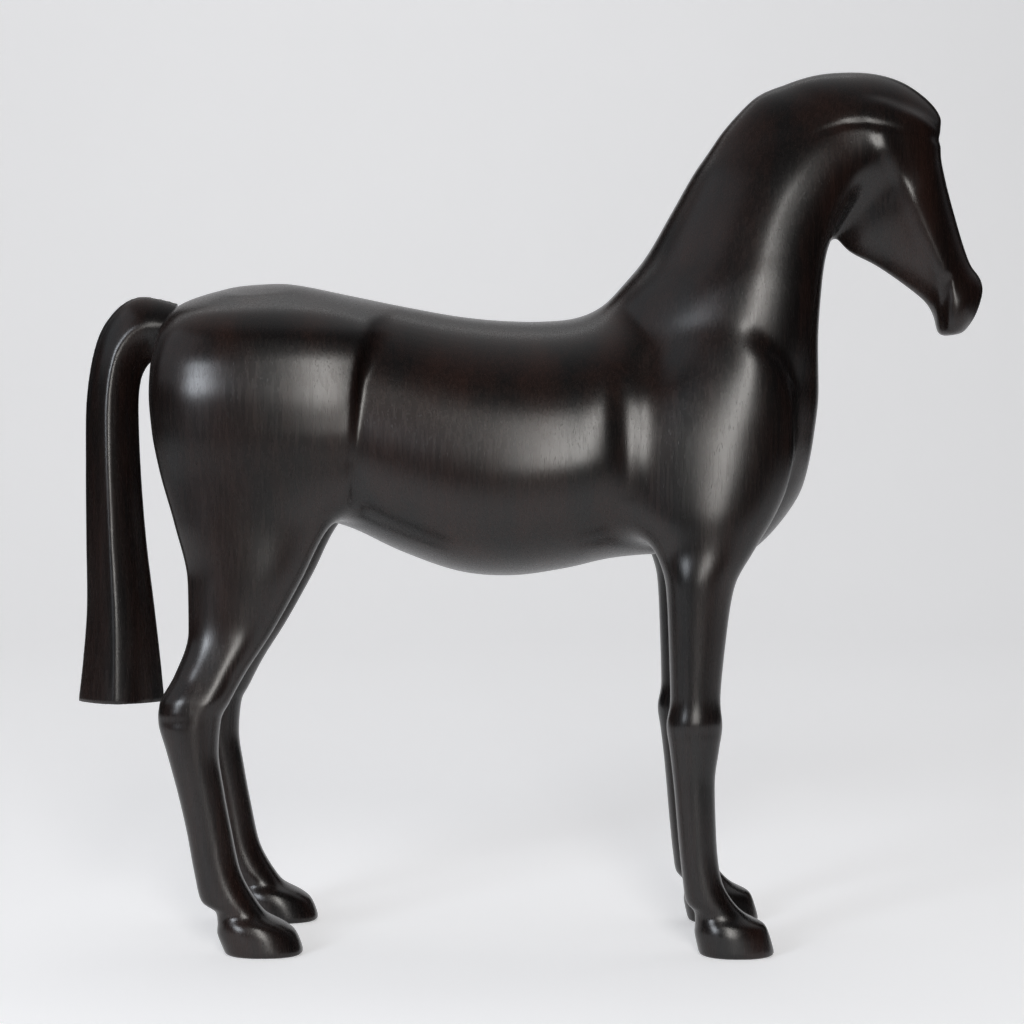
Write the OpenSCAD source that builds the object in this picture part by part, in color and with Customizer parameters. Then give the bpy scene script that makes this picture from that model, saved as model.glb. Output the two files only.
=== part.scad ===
// Standing horse, carved in stained hardwood from glued and doweled boards.
// Millimetres. X runs from tail to muzzle, Y to the horse's left, Z up from the floor.

/* [Trunk] */
// Length of the barrel boards, from the flank joint to the girth joint
barrel_length = 151; // [130:1:175]
// Depth of the barrel, from the back to the belly
barrel_depth = 147; // [130:1:165]
// Width across the barrel
barrel_width = 126; // [112:1:140]
// Clear height under the belly
belly_height = 210.5; // [186:0.5:235]
// Length of the hindquarters behind the flank joint
hindquarter_length = 108; // [96:1:120]
// Width across the haunches
haunch_width = 130; // [118:1:144]
// Length of the forehand ahead of the girth joint
forehand_length = 120; // [106:1:134]
// Width across the shoulders
shoulder_width = 130; // [118:1:142]
// Forward lean of the flank joint, in degrees
flank_lean = 5.5; // [0:0.5:8]
// Backward lean of the girth joint, in degrees
girth_lean = 4; // [0:0.5:8]
// Width of the chiselled groove behind the shoulder
groove_width = 9; // [4:0.5:14]
// Length of the chiselled groove
groove_length = 84; // [60:1:100]
// Depth of the chiselled groove
groove_depth = 3.5; // [1:0.5:6]

/* [Legs] */
// Distance between left and right legs, centre to centre
stance = 96; // [84:1:104]
// Length of a hoof at the sole
hoof_length = 42.5; // [35:0.5:50]
// Width of a hoof at the sole
hoof_width = 35; // [29:1:40]
// Height of a hoof at its upper rim
hoof_height = 17; // [13:0.5:21]
// Height of the fetlock above the floor
fetlock_height = 30; // [26:1:35]
// Height of the knee above the floor
knee_height = 129; // [112:1:146]
// Height of the hock above the floor
hock_height = 132; // [116:1:148]
// Fore cannon from front to back
fore_cannon = 23; // [20:0.5:27]
// Hind cannon from front to back
hind_cannon = 26; // [23:0.5:30]
// Width of the cannons
cannon_width = 23; // [19:0.5:27]

/* [Neck and head] */
// Rise of the crest above the back
neck_rise = 142.5; // [128:0.5:160]
// Reach of the neck from the girth joint to the forelock
neck_reach = 190; // [174:1:208]
// Width of the neck at its base
neck_width = 108; // [98:1:118]
// Width of the mane cap over the poll
mane_width = 47; // [40:1:54]
// Length of the head from forelock to chin
head_length = 112; // [100:1:124]
// Depth of the head from brow to jaw
head_depth = 62; // [56:1:68]
// Width across the cheeks
head_width = 50; // [44:1:56]
// Width of the muzzle
muzzle_width = 29; // [24:1:34]
// Width of the chiselled nostril line
nostril_width = 5; // [2:0.5:8]
// Depth of the chiselled nostril line
nostril_depth = 2; // [0.5:0.5:3]
// Lean of the nostril line, in degrees
nostril_lean = 5; // [0:1:10]

/* [Tail] */
// Drop of the tail from its root to its cut end
tail_drop = 229; // [200:1:260]
// Reach of the tail behind its root
tail_reach = 59; // [52:1:66]
// Width of the tail at its cut end
tail_width = 40; // [32:1:48]

/* [Joinery] */
// Dowel diameter in the trunk and the neck
trunk_dowel_d = 12; // [8:1:16]
// Dowel length in the trunk and the neck
trunk_dowel_l = 60; // [40:1:76]
// Dowel diameter in the legs, the head and the tail
small_dowel_d = 8; // [6:1:10]
// Dowel length in the legs, the head and the tail
small_dowel_l = 40; // [30:1:50]
// Glue room around a dowel
glue_gap = 0.1; // [0.05:0.05:0.3]
// Glue room past each end of a dowel
end_gap = 1; // [0.5:0.5:2]

/* [Hidden] */
wood_colour = "#2b1d18";
dowel_colour = "#c8a477";
$fn = 48;

// Sections per span and points per ring of the carved forms
trunk_steps = 2;
trunk_sides = 24;
leg_steps = 2;
leg_sides = 16;
neck_steps = 2;
neck_sides = 24;

// Reference places along the body; the girth joint is at 0 while drawing
flank_x = -barrel_length;
root_x = flank_x - 0.917 * hindquarter_length;
fore_plumb = 0.385 * forehand_length;
hind_plumb = flank_x - 0.725 * hindquarter_length;
back_height = belly_height + barrel_depth;
root_height = high(1.058);
brow = at_neck(0.984, 0.726);
muzzle_x = brow[0] + 0.45 * head_depth;
tail_x = root_x - tail_reach;
// The drawing is moved so that the figure stands centred over the origin
centre_shift = -(muzzle_x + tail_x) / 2;

// Heights inside the trunk, as a share of its depth above the belly line
function high(share) = belly_height + share * barrel_depth;
// Places on the side view, each in the frame of its own region
function at_trunk(u, v) = [u * forehand_length, high(v)];
function at_neck(u, v) = [u * neck_reach, back_height + v * neck_rise];
function at_head(u, v) = [brow[0] + u * head_depth, brow[1] - v * head_length];
function at_tail(u, v) = [root_x - u * tail_reach, root_height - v * tail_drop];
function mix(a, b, t) = a + t * (b - a);

// Joint planes on the side view
lean_height = high(0.41);
fore_joint_height = high(0.05);
hind_joint_height = high(0.19);
sky = back_height + 2 * neck_rise;
ahead = forehand_length + 2 * neck_reach;
throat = at_neck(0.674, 0.306);
function flank_at(z) = [flank_x + (z - lean_height) * tan(flank_lean), z];
function girth_at(z) = [-(z - lean_height) * tan(girth_lean), z];
withers = girth_at(high(1.06));
breast = at_trunk(1.008, 0.857);
tail_joint_top = at_tail(0, -0.01);
tail_joint_low = at_tail(0.153, 0.141);
function along(a, b, t) = a + t * (b - a);

// A carved form is a row of sections along the piece. Each section is
// [front x, front z, back x, back z, middle y, half width, bias, front squareness, back squareness].
// A squareness of 2 is an ellipse, less than that is a ridge and more is a box.
function slope(a, b) = a * b <= 0 ? 0 : 2 * a * b / (a + b);
function tangent(rows, i, j) =
  i == 0 ? rows[1][j] - rows[0][j]
  : i == len(rows) - 1 ? rows[i][j] - rows[i - 1][j]
  : slope(rows[i][j] - rows[i - 1][j], rows[i + 1][j] - rows[i][j]);
function hermite(a, b, ta, tb, f) =
  a * (2 * pow(f, 3) - 3 * pow(f, 2) + 1) + ta * (pow(f, 3) - 2 * pow(f, 2) + f)
  + b * (3 * pow(f, 2) - 2 * pow(f, 3)) + tb * (pow(f, 3) - pow(f, 2));
function section_at(rows, t) =
  let (i = min(floor(t), len(rows) - 2))
  [for (j = [0 : len(rows[0]) - 1])
    hermite(rows[i][j], rows[i + 1][j], tangent(rows, i, j), tangent(rows, i + 1, j), t - i)];
function signed_pow(v, e) = sign(v) * pow(abs(v), e);
function ring(s, sides) =
  [for (k = [0 : sides - 1])
    let (
      a = 360 * k / sides,
      squareness = cos(a) > 0 ? s[7] : s[8],
      c = signed_pow(cos(a), 2 / squareness),
      w = signed_pow(sin(a), 2 / squareness),
      c2 = c + s[6] * (1 - c * c)
    )
    [(s[0] + s[2]) / 2 + c2 * (s[0] - s[2]) / 2,
     s[4] + w * s[5],
     (s[1] + s[3]) / 2 + c2 * (s[1] - s[3]) / 2]];

// Whether the rings of a form turn left-handed along it
function travel(rows, j) = rows[1][j] + rows[1][j + 2] - rows[0][j] - rows[0][j + 2];
function turned(rows) =
  (rows[0][0] - rows[0][2]) * travel(rows, 1) < (rows[0][1] - rows[0][3]) * travel(rows, 0);

module skin(drawn_rings, flip) {
  sides = len(drawn_rings[0]);
  last = len(drawn_rings) - 1;
  rings = [for (i = [0 : last]) drawn_rings[flip ? last - i : i]];
  points = [for (r = rings) for (p = r) p];
  bands = [for (i = [0 : last - 1]) for (k = [0 : sides - 1])
    let (
      a = i * sides + k,
      b = i * sides + (k + 1) % sides,
      c = a + sides,
      d = b + sides
    )
    each [[a, c, b], [b, c, d]]];
  caps = [[for (k = [0 : sides - 1]) k], [for (k = [sides - 1 : -1 : 0]) last * sides + k]];
  polyhedron(points, concat(bands, caps), convexity = 6);
}

// The stretch of a form between two of its sections
module carved(rows, first, last, steps, sides) {
  skin([for (k = [first * steps : last * steps]) ring(section_at(rows, k / steps), sides)], turned(rows));
}

// Trunk, in upright sections from rump to breast: [x, top, belly, half width]
function trunk_row(x, top, low, w) =
  [x, high(top), x, high(low), 0, w * barrel_width / 2, -0.05, 2.15, 2.15];
function hind_x(u) = flank_x - u * hindquarter_length;
trunk_rows = [
  trunk_row(hind_x(0.96), 0.99, 0.62, 0.38),
  trunk_row(hind_x(0.90), 1.058, 0.52, 0.57),
  trunk_row(hind_x(0.69), 1.110, 0.36, 0.79),
  trunk_row(hind_x(0.45), 1.146, 0.28, 0.86),
  trunk_row(hind_x(0.27), 1.144, 0.24, 0.88),
  trunk_row(hind_x(0.00), 1.100, 0.19, 0.89),
  trunk_row(flank_x + 0.20 * barrel_length, 1.058, 0.095, 0.945),
  trunk_row(flank_x + 0.42 * barrel_length, 1.018, 0.017, 0.99),
  trunk_row(flank_x + 0.62 * barrel_length, 1.000, 0.000, 1.00),
  trunk_row(flank_x + 0.82 * barrel_length, 1.003, 0.027, 1.00),
  trunk_row(0, 1.065, 0.068, 0.985),
  trunk_row(0.23 * forehand_length, 1.060, 0.085, 0.86),
  trunk_row(0.48 * forehand_length, 0.925, 0.09, 0.68),
  trunk_row(0.69 * forehand_length, 0.857, 0.13, 0.48),
  trunk_row(0.86 * forehand_length, 0.687, 0.28, 0.30)
];

// Legs, in level sections from the sole up: [height, back, front, inner, outer]
round_edge = 2.25;
square_edge = 4;
function leg_row(z, back, front, inner, outer, front_square = round_edge, back_square = round_edge) =
  [front, z, back, z, (inner + outer) / 2, (outer - inner) / 2, 0, front_square, back_square];
// Below the trunk, set from the plumb line in cannon depths and widths
function fore_row(z, back, front, w) =
  leg_row(z, fore_plumb + back * fore_cannon, fore_plumb + front * fore_cannon,
    stance / 2 - w * cannon_width / 2, stance / 2 + w * cannon_width / 2);
function hind_row(z, back, front, w) =
  leg_row(z, hind_plumb + back * hind_cannon, hind_plumb + front * hind_cannon,
    stance / 2 - w * cannon_width / 2, stance / 2 + w * cannon_width / 2);
function hoof_row(z, heel, length, w) =
  leg_row(z, heel, heel + length, stance / 2 - w * hoof_width / 2, stance / 2 + w * hoof_width / 2);
// In the trunk, set in shares of the region's length and width. Towards the barrel the edge
// is square, so that the shoulder stays full up to its joint and the thigh stands proud.
function shoulder_row(v, back, front, inner, outer) =
  leg_row(high(v), back * forehand_length, front * forehand_length,
    inner * shoulder_width / 2, outer * shoulder_width / 2, back_square = square_edge);
function haunch_row(v, back, front, inner, outer) =
  leg_row(high(v), hind_x(back), hind_x(front),
    inner * haunch_width / 2, outer * haunch_width / 2, front_square = square_edge);

// Between the hock and the thigh, set from the plumb line and in shares of the haunches' width
function gaskin_row(share, back, front, inner, outer) =
  leg_row(mix(hock_height, belly_height, share), hind_plumb + back * hind_cannon,
    hind_plumb + front * hind_cannon, inner * haunch_width / 2, outer * haunch_width / 2);

fore_heel = fore_plumb + 0.1 * fore_cannon;
hind_heel = hind_plumb + 0.39 * hind_cannon;
// How far the forms run past the floor and the joints before they are cut
trim_run = 3;
foreleg_rows = [
  hoof_row(-trim_run, fore_heel, hoof_length, 1.00),
  hoof_row(0, fore_heel, hoof_length, 1.00),
  hoof_row(0.75 * hoof_height, fore_heel - 0.06 * hoof_length, 0.98 * hoof_length, 0.96),
  hoof_row(hoof_height, fore_heel - 0.05 * hoof_length, 0.92 * hoof_length, 0.90),
  fore_row(mix(hoof_height, fetlock_height, 0.5), 0.00, 1.20, 1.06),
  fore_row(fetlock_height, -0.22, 0.92, 1.08),
  fore_row(mix(fetlock_height, knee_height, 0.12), -0.30, 0.65, 1.05),
  fore_row(mix(fetlock_height, knee_height, 0.32), -0.39, 0.53, 1.00),
  fore_row(mix(fetlock_height, knee_height, 0.66), -0.52, 0.48, 1.00),
  fore_row(mix(fetlock_height, knee_height, 0.86), -0.62, 0.58, 1.12),
  fore_row(knee_height, -0.70, 0.66, 1.28),
  fore_row(mix(knee_height, belly_height, 0.18), -0.61, 0.61, 1.20),
  fore_row(mix(knee_height, belly_height, 0.59), -0.65, 0.74, 1.30),
  fore_row(mix(knee_height, belly_height, 0.95), -0.72, 0.94, 1.52),
  shoulder_row(0.115, 0.19, 0.69, 0.43, 1.00),
  shoulder_row(0.245, 0.04, 0.79, 0.38, 1.01),
  shoulder_row(0.36, -0.09, 0.85, 0.34, 1.01),
  shoulder_row(0.52, -0.14, 0.89, 0.28, 1.00),
  shoulder_row(0.67, -0.12, 0.89, 0.22, 0.95),
  shoulder_row(0.82, 0.02, 0.86, 0.17, 0.84),
  shoulder_row(0.945, 0.34, 0.79, 0.13, 0.66)
];
hind_leg_rows = [
  hoof_row(-trim_run, hind_heel, 1.03 * hoof_length, 1.00),
  hoof_row(0, hind_heel, 1.03 * hoof_length, 1.00),
  hoof_row(0.75 * hoof_height, hind_heel - 0.07 * hoof_length, 1.02 * hoof_length, 0.96),
  hoof_row(hoof_height, hind_heel - 0.07 * hoof_length, 0.91 * hoof_length, 0.90),
  hind_row(mix(hoof_height, fetlock_height, 0.5), 0.25, 1.31, 1.06),
  hind_row(fetlock_height, -0.08, 1.11, 1.10),
  hind_row(mix(fetlock_height, hock_height, 0.16), -0.23, 0.77, 1.05),
  hind_row(mix(fetlock_height, hock_height, 0.38), -0.385, 0.58, 1.00),
  hind_row(mix(fetlock_height, hock_height, 0.60), -0.58, 0.42, 1.04),
  hind_row(mix(fetlock_height, hock_height, 0.82), -0.81, 0.30, 1.13),
  hind_row(hock_height, -1.00, 0.36, 1.20),
  hind_row(mix(hock_height, belly_height, 0.12), -0.96, 0.54, 1.17),
  gaskin_row(0.32, -0.65, 0.86, 0.50, 0.89),
  gaskin_row(0.62, -0.38, 1.44, 0.42, 0.84),
  gaskin_row(0.98, -0.40, 2.05, 0.36, 0.85),
  haunch_row(0.21, 0.89, 0.075, 0.30, 0.88),
  haunch_row(0.42, 0.97, -0.08, 0.18, 0.93),
  haunch_row(0.69, 1.025, -0.11, 0.10, 0.98),
  haunch_row(0.90, 1.00, -0.08, 0.06, 0.915),
  haunch_row(1.03, 0.88, 0.13, 0.05, 0.72),
  haunch_row(1.09, 0.62, 0.33, 0.03, 0.43)
];

// Neck, mane, head and tail, in sections between two edges of the side view
function edge_row(front, back, w, bias, front_square, back_square) =
  [front[0], front[1], back[0], back[1], 0, w, bias, front_square, back_square];
function chest_row(front, back, w) = edge_row(front, back, w * shoulder_width / 2, 0.05, 2.1, 2.1);
// The neck flares into the shoulders, and its widest line lies ahead of its middle
function neck_row(front, back, w, ridge) = edge_row(front, back, w * neck_width / 2, ridge, 2.1, 2.1);
function mane_row(outer, inner, w) = edge_row(outer, inner, w * mane_width / 2, -0.1, 2.2, 2.2);
// The brow ridge runs down each side of the face, ahead of a flat cheek
function head_row(front, back, w) = edge_row(front, back, w, 0.2, 1.6, 2.4);
function muzzle_row(front, back, w) = edge_row(front, back, w, 0.1, 2.4, 2.4);
// The tail is bevelled to a ridge behind, with a crease along each side
function tail_row(outer, inner, w) = edge_row(outer, inner, w * tail_width / 2, 0.1, 1.4, 1.8);
neck_rows = [
  chest_row(at_trunk(0.667, 0.08), at_trunk(0.19, 0.10), 0.34),
  chest_row(at_trunk(0.80, 0.177), at_trunk(0.067, 0.21), 0.58),
  chest_row(at_trunk(0.92, 0.365), at_trunk(-0.017, 0.36), 0.70),
  chest_row(at_trunk(0.975, 0.55), at_trunk(-0.10, 0.55), 0.76),
  chest_row(at_trunk(0.995, 0.72), at_trunk(-0.16, 0.74), 0.78),
  neck_row(at_trunk(1.005, 0.92), at_trunk(-0.26, 0.98), 1.05, 0.40),
  neck_row(at_neck(0.645, 0.111), at_neck(0.000, 0.083), 0.96, 0.36),
  neck_row(at_neck(0.663, 0.264), at_neck(0.098, 0.245), 0.865, 0.30),
  neck_row(at_neck(0.70, 0.389), at_neck(0.184, 0.44), 0.765, 0.24),
  neck_row(at_neck(0.763, 0.528), at_neck(0.267, 0.625), 0.655, 0.18),
  neck_row(at_neck(0.837, 0.639), at_neck(0.358, 0.768), 0.50, 0.15),
  neck_row(at_neck(0.921, 0.708), at_neck(0.489, 0.889), 0.39, 0.12),
  neck_row(at_neck(0.963, 0.75), at_neck(0.647, 0.951), 0.315, 0.10)
];
mane_rows = [
  mane_row(at_neck(0.262, 0.595), at_neck(0.374, 0.50), 0.60),
  mane_row(at_neck(0.352, 0.783), at_neck(0.458, 0.625), 0.77),
  mane_row(at_neck(0.436, 0.893), at_neck(0.526, 0.70), 0.90),
  mane_row(at_neck(0.526, 0.951), at_neck(0.595, 0.736), 0.96),
  mane_row(at_neck(0.616, 0.988), at_neck(0.663, 0.76), 0.98),
  mane_row(at_neck(0.708, 1.00), at_neck(0.726, 0.767), 0.98),
  mane_row(at_neck(0.80, 0.993), at_neck(0.795, 0.736), 0.96),
  mane_row(at_neck(0.884, 0.958), at_neck(0.853, 0.715), 0.92),
  mane_row(at_neck(0.958, 0.889), at_neck(0.895, 0.694), 0.81),
  mane_row(at_neck(0.997, 0.819), at_neck(0.92, 0.694), 0.60),
  mane_row(at_neck(0.995, 0.757), at_neck(0.947, 0.70), 0.34)
];
cheek = head_width / 2;
lip = muzzle_width / 2;
head_rows = [
  head_row(at_head(-0.13, -0.155), at_head(-1.10, 0.20), 0.90 * cheek),
  head_row(at_head(0.00, 0.00), at_head(-1.00, 0.385), 0.98 * cheek),
  head_row(at_head(0.05, 0.125), at_head(-0.855, 0.555), 1.00 * cheek),
  head_row(at_head(0.095, 0.22), at_head(-0.565, 0.645), 0.93 * cheek),
  head_row(at_head(0.175, 0.375), at_head(-0.305, 0.74), mix(cheek, lip, 0.5)),
  head_row(at_head(0.27, 0.545), at_head(-0.08, 0.84), mix(cheek, lip, 0.88)),
  muzzle_row(at_head(0.345, 0.65), at_head(-0.01, 0.90), 0.96 * lip),
  muzzle_row(at_head(0.41, 0.69), at_head(0.01, 0.945), 1.00 * lip),
  muzzle_row(at_head(0.45, 0.76), at_head(0.02, 0.98), 1.00 * lip),
  muzzle_row(at_head(0.39, 0.885), at_head(0.035, 1.00), 0.90 * lip),
  muzzle_row(at_head(0.27, 0.99), at_head(0.07, 1.005), 0.55 * lip)
];
tail_rows = [
  tail_row(at_tail(-0.19, 0.01), at_tail(-0.07, 0.115), 0.55),
  tail_row(at_tail(0.15, -0.017), at_tail(0.135, 0.128), 0.60),
  tail_row(at_tail(0.41, -0.022), at_tail(0.245, 0.137), 0.65),
  tail_row(at_tail(0.63, 0.015), at_tail(0.32, 0.158), 0.675),
  tail_row(at_tail(0.80, 0.09), at_tail(0.37, 0.193), 0.70),
  tail_row(at_tail(0.90, 0.228), at_tail(0.39, 0.262), 0.725),
  tail_row(at_tail(0.915, 0.41), at_tail(0.37, 0.42), 0.775),
  tail_row(at_tail(0.915, 0.583), at_tail(0.32, 0.592), 0.825),
  tail_row(at_tail(0.912, 0.757), at_tail(0.245, 0.757), 0.90),
  tail_row(at_tail(0.95, 0.887), at_tail(0.19, 0.887), 0.95),
  tail_row(at_tail(1.00, 1.00), at_tail(0.15, 1.00), 1.00)
];

module trunk_form(first, last) { carved(trunk_rows, first, last, trunk_steps, trunk_sides); }
module foreleg_form(first, last) { carved(foreleg_rows, first, last, leg_steps, leg_sides); }
module hind_leg_form(first, last) { carved(hind_leg_rows, first, last, leg_steps, leg_sides); }
module neck_form(first, last) { carved(neck_rows, first, last, neck_steps, neck_sides); }
module mane_form() { carved(mane_rows, 0, len(mane_rows) - 1, neck_steps, leg_sides); }
module head_form(last) { carved(head_rows, 0, last, neck_steps, neck_sides); }
module tail_form() { carved(tail_rows, 0, len(tail_rows) - 1, neck_steps, leg_sides); }
// Sections that lie just past each joint, where a form is divided between two pieces
elbow_row = 14;
stifle_row = 15;
flank_row = 5;
girth_row = 10;
withers_row = 6;
brow_row = 3;

// The blank of a piece: an outline on the side view, sawn through from y_low to y_high
module blank(outline, y_low, y_high) {
  translate([0, y_high, 0]) rotate([90, 0, 0]) linear_extrude(y_high - y_low) polygon(outline);
}
module placed() { translate([centre_shift, 0, 0]) children(); }

board = max(barrel_width, haunch_width, shoulder_width);
tail_slant = (sky - tail_joint_low[1]) / (tail_joint_top[1] - tail_joint_low[1]);
hindquarter_outline = [
  flank_at(hind_joint_height), flank_at(sky), along(tail_joint_low, tail_joint_top, tail_slant),
  tail_joint_low, [tail_joint_low[0] - tail_reach, hind_joint_height]
];
barrel_outline = [flank_at(0), girth_at(0), girth_at(sky), flank_at(sky)];
forehand_outline = [
  girth_at(fore_joint_height), [ahead, fore_joint_height],
  along(withers, breast, (ahead - withers[0]) / (breast[0] - withers[0])), withers
];
head_outline = [
  throat, along(throat, brow, 1.3), [ahead, along(throat, brow, 1.3)[1]],
  [ahead, belly_height], [throat[0], belly_height]
];
neck_outline = [
  along(withers, breast, -1), along(withers, breast, (throat[0] - withers[0]) / (breast[0] - withers[0])),
  throat, along(throat, brow, 1.3), [ahead, along(throat, brow, 1.3)[1]], [ahead, sky],
  [along(withers, breast, -1)[0], sky]
];
tail_outline = [
  along(tail_joint_low, tail_joint_top, tail_slant), [tail_x - tail_reach, sky], [tail_x - tail_reach, 0],
  [tail_joint_low[0], 0], tail_joint_low
];
foreleg_outline = [[0, 0], [2 * forehand_length, 0],
  [2 * forehand_length, fore_joint_height], [0, fore_joint_height]];
hind_leg_outline = [[hind_x(2), 0], [hind_x(-0.2), 0],
  [hind_x(-0.2), hind_joint_height], [hind_x(2), hind_joint_height]];

// A dowel across a joint: its middle on the joint, its axis at right angles to it
flank_turn = [0, 90 + flank_lean, 0];
girth_turn = [0, 90 - girth_lean, 0];
neck_turn = [0, 90 - atan2(breast[0] - withers[0], withers[1] - breast[1]), 0];
head_turn = [0, 90 + atan2(brow[0] - throat[0], brow[1] - throat[1]), 0];
tail_turn = [0, 90 - atan2(tail_joint_top[0] - tail_joint_low[0], tail_joint_top[1] - tail_joint_low[1]), 0];
upright = [0, 0, 0];
module dowel(at, y, turn, d, l) {
  translate([at[0], y, at[1]]) rotate(turn) cylinder(d = d, h = l, center = true);
}
// Room is 0 for the dowel itself and 1 for the hole that takes it
module trunk_dowel(at, y, turn, room) {
  dowel(at, y, turn, trunk_dowel_d + 2 * room * glue_gap, trunk_dowel_l + 2 * room * end_gap);
}
module small_dowel(at, y, turn, room) {
  dowel(at, y, turn, small_dowel_d + 2 * room * glue_gap, small_dowel_l + 2 * room * end_gap);
}
trunk_dowel_heights = [high(0.36), high(0.80)];
trunk_dowel_y = 0.24 * barrel_width;
neck_dowel_y = 0.135 * neck_width;
module flank_set(room) {
  for (y = [-trunk_dowel_y, trunk_dowel_y], z = trunk_dowel_heights)
    trunk_dowel(flank_at(z), y, flank_turn, room);
}
module girth_set(room) {
  for (y = [-trunk_dowel_y, trunk_dowel_y], z = trunk_dowel_heights)
    trunk_dowel(girth_at(z), y, girth_turn, room);
}
module neck_set(room) {
  for (y = [-neck_dowel_y, neck_dowel_y], t = [0.38, 0.72])
    trunk_dowel(along(withers, breast, t), y, neck_turn, room);
}
module head_set(room) {
  for (t = [0.36, 0.68])
    small_dowel(along(throat, brow, t), 0, head_turn, room);
}
module tail_set(room) {
  small_dowel(along(tail_joint_low, tail_joint_top, 0.5), 0, tail_turn, room);
}
module foreleg_set(room) {
  for (x = [-0.28, 0.42])
    small_dowel([fore_plumb + x * fore_cannon, fore_joint_height], stance / 2, upright, room);
}
module hind_leg_set(room) {
  for (u = [0.36, 0.66])
    small_dowel([hind_x(u), hind_joint_height], 0.94 * stance / 2, upright, room);
}

// A chiselled notch, pointed at both ends, with its middle on the surface
module notch(width, depth, length) {
  tips = [
    [-width / 2, 0, 0], [width / 2, 0, 0], [0, -depth, 0],
    [0, depth, 0], [0, 0, -length / 2], [0, 0, length / 2]
  ];
  sides = [for (x = [0, 1], y = [2, 3], z = [4, 5]) (x + y + z) % 2 == 0 ? [x, y, z] : [y, x, z]];
  polyhedron(tips, sides);
}
groove_height = high(0.53);
module groove() {
  translate([girth_at(groove_height)[0], barrel_width / 2, groove_height])
    rotate([0, -girth_lean, 0]) notch(groove_width, groove_depth, groove_length);
}
// The nostril line, across each side of the muzzle
nostril = along(at_head(0.19, 0.60), at_head(0.13, 1.00), 0.5);
module nostril_lines() {
  for (y = [-lip, lip])
    translate([nostril[0], y, nostril[1]])
      rotate([0, nostril_lean, 0]) notch(nostril_width, nostril_depth, 0.46 * head_length);
}

module hindquarter() {
  color(wood_colour) placed() difference() {
    intersection() {
      union() {
        trunk_form(0, flank_row + 1);
        hind_leg_form(stifle_row - 1, len(hind_leg_rows) - 1);
      }
      blank(hindquarter_outline, 0, board);
    }
    flank_set(1);
    tail_set(1);
    hind_leg_set(1);
  }
}
module barrel() {
  color(wood_colour) placed() difference() {
    intersection() {
      trunk_form(flank_row - 1, girth_row + 1);
      blank(barrel_outline, 0, board);
    }
    groove();
    flank_set(1);
    girth_set(1);
  }
}
module forehand() {
  color(wood_colour) placed() difference() {
    intersection() {
      union() {
        trunk_form(girth_row - 1, len(trunk_rows) - 1);
        foreleg_form(elbow_row - 1, len(foreleg_rows) - 1);
        neck_form(0, withers_row + 1);
      }
      blank(forehand_outline, 0, board);
    }
    groove();
    girth_set(1);
    neck_set(1);
    foreleg_set(1);
  }
}
module neck() {
  color(wood_colour) placed() difference() {
    intersection() {
      union() {
        neck_form(withers_row - 2, len(neck_rows) - 1);
        mane_form();
        head_form(brow_row);
      }
      blank(neck_outline, -board, board);
    }
    neck_set(1);
    head_set(1);
  }
}
module head() {
  color(wood_colour) placed() difference() {
    intersection() {
      head_form(len(head_rows) - 1);
      blank(head_outline, -board, board);
    }
    nostril_lines();
    head_set(1);
  }
}
module tail() {
  color(wood_colour) placed() difference() {
    intersection() {
      tail_form();
      blank(tail_outline, -board, board);
    }
    tail_set(1);
  }
}
module foreleg() {
  color(wood_colour) placed() difference() {
    intersection() {
      foreleg_form(0, elbow_row);
      blank(foreleg_outline, 0, board);
    }
    foreleg_set(1);
  }
}
module hind_leg() {
  color(wood_colour) placed() difference() {
    intersection() {
      hind_leg_form(0, stifle_row);
      blank(hind_leg_outline, 0, board);
    }
    hind_leg_set(1);
  }
}
module flank_dowels() { color(dowel_colour) placed() flank_set(0); }
module girth_dowels() { color(dowel_colour) placed() girth_set(0); }
module neck_dowels() { color(dowel_colour) placed() neck_set(0); }
module head_dowels() { color(dowel_colour) placed() head_set(0); }
module tail_dowel() { color(dowel_colour) placed() tail_set(0); }
module foreleg_dowels() { color(dowel_colour) placed() foreleg_set(0); }
module hind_leg_dowels() { color(dowel_colour) placed() hind_leg_set(0); }
module right_side() { mirror([0, 1, 0]) children(); }

right_side() hindquarter();  // right_hindquarter
hindquarter();  // left_hindquarter
right_side() barrel();  // right_barrel
barrel();  // left_barrel
right_side() forehand();  // right_forehand
forehand();  // left_forehand
neck();
head();
tail();
right_side() foreleg();  // right_foreleg
foreleg();  // left_foreleg
right_side() hind_leg();  // right_hind_leg
hind_leg();  // left_hind_leg
flank_dowels();
girth_dowels();
neck_dowels();
head_dowels();
tail_dowel();
right_side() foreleg_dowels();  // right_foreleg_dowels
foreleg_dowels();  // left_foreleg_dowels
right_side() hind_leg_dowels();  // right_hind_leg_dowels
hind_leg_dowels();  // left_hind_leg_dowels
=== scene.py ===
import math

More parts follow.
